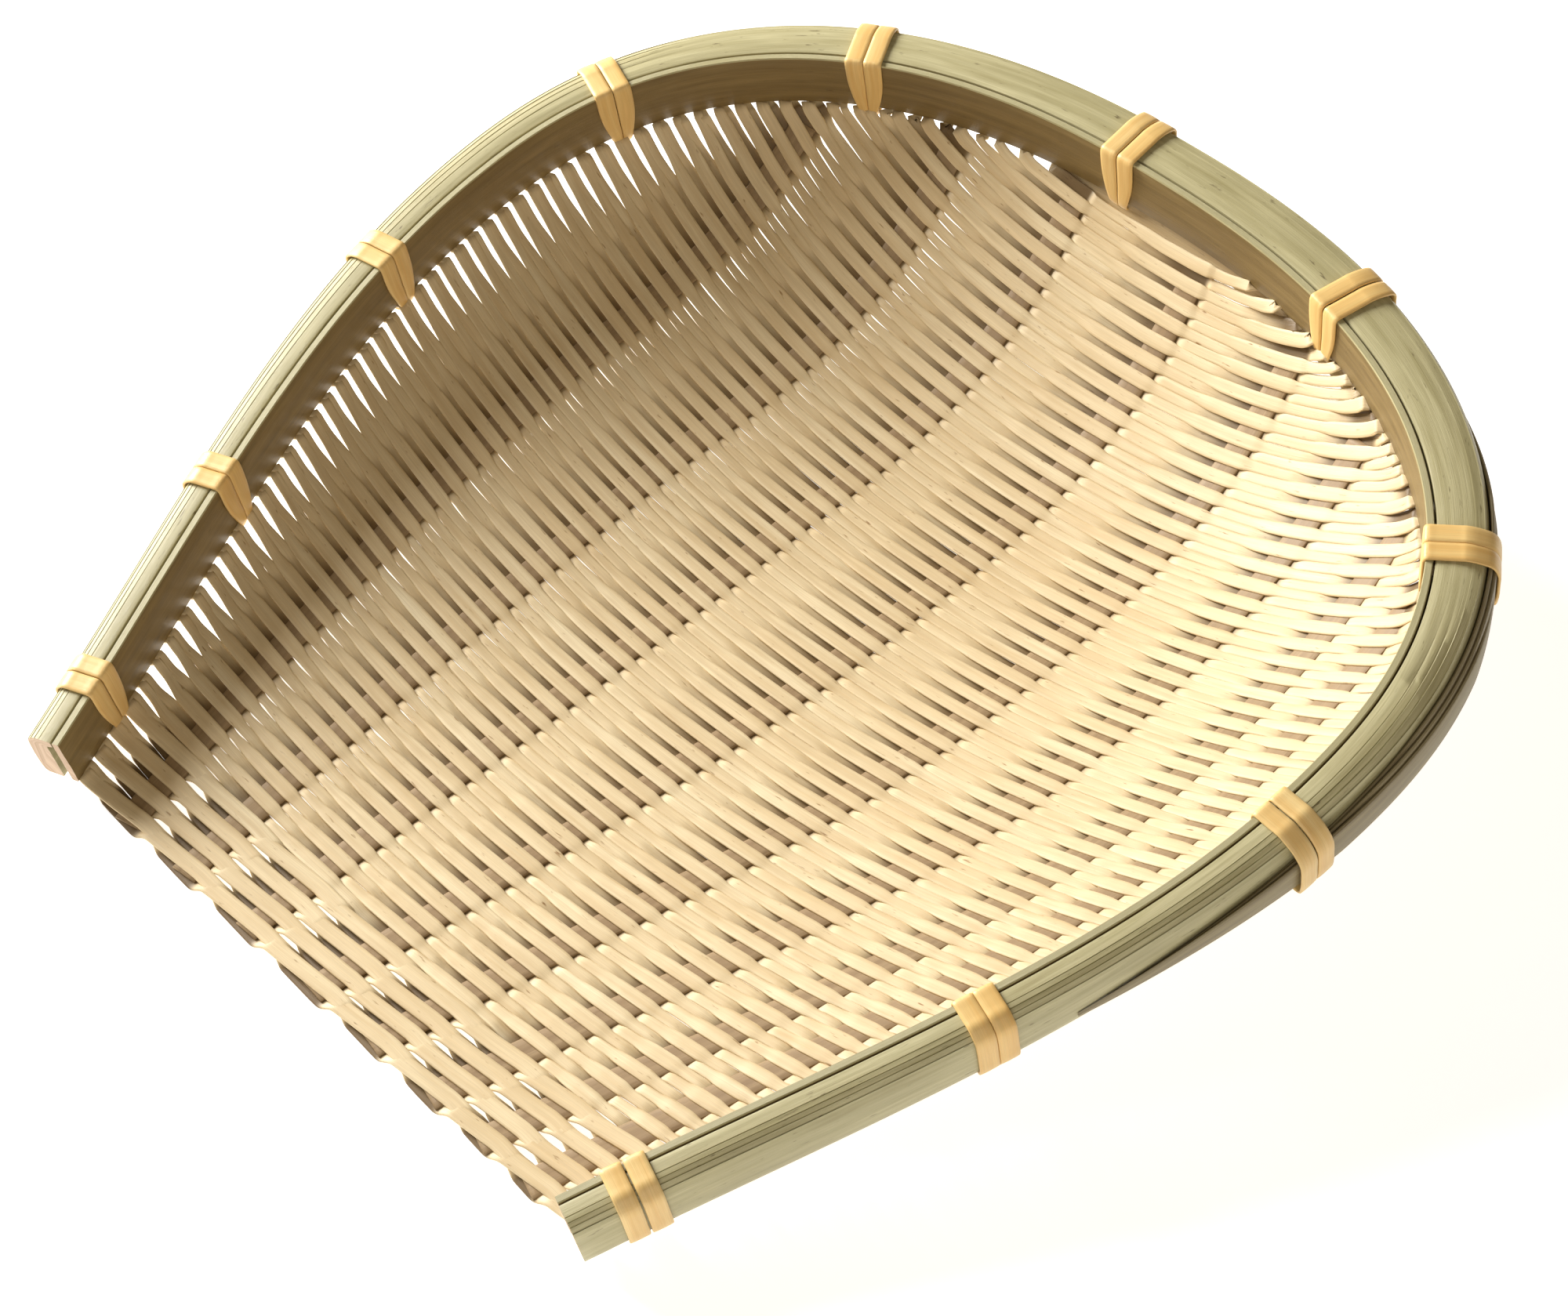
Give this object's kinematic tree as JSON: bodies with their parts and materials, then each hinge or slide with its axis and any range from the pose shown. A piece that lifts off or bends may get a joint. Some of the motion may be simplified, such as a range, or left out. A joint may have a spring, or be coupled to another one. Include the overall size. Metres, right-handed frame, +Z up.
{
  "type": "winnowing basket",
  "caption": "Horseshoe-shaped winnowing basket with an open mouth: plain-woven split-bamboo tray bound between two bamboo hoops with rattan lashings.",
  "frame": {"origin": "centre of the bounding box at floor level, under the resting tray", "axes": "+Z up, +Y from the open mouth to the raised back, +X to the right of someone looking in over the mouth"},
  "size_m": [0.3726, 0.3797, 0.0871],
  "materials": {
    "rim_bamboo": "satin",
    "woven_bamboo": "satin",
    "rattan": "satin"
  },
  "bodies": {
    "root": {"inner_hoop": "rim_bamboo", "outer_hoop": "rim_bamboo", "lap_strip_1": "rim_bamboo", "lap_strip_2": "rim_bamboo", "lap_strip_3": "rim_bamboo", "rib_1": "woven_bamboo", "rib_2": "woven_bamboo", "rib_3": "woven_bamboo", "rib_4": "woven_bamboo", "rib_5": "woven_bamboo", "rib_6": "woven_bamboo", "rib_7": "woven_bamboo", "rib_8": "woven_bamboo", "mouth_selvedge": "woven_bamboo", "weft_band_01": "woven_bamboo", "weft_band_02": "woven_bamboo", "weft_band_03": "woven_bamboo", "weft_band_04": "woven_bamboo", "weft_band_05": "woven_bamboo", "weft_band_06": "woven_bamboo", "weft_band_07": "woven_bamboo", "weft_band_08": "woven_bamboo", "weft_band_09": "woven_bamboo", "weft_band_10": "woven_bamboo", "weft_band_11": "woven_bamboo", "weft_band_12": "woven_bamboo", "lashing_01": "rattan", "lashing_02": "rattan", "lashing_03": "rattan", "lashing_04": "rattan", "lashing_05": "rattan", "lashing_06": "rattan", "lashing_07": "rattan", "lashing_08": "rattan", "lashing_09": "rattan", "lashing_10": "rattan", "lashing_11": "rattan"}
  },
  "joints": []
}
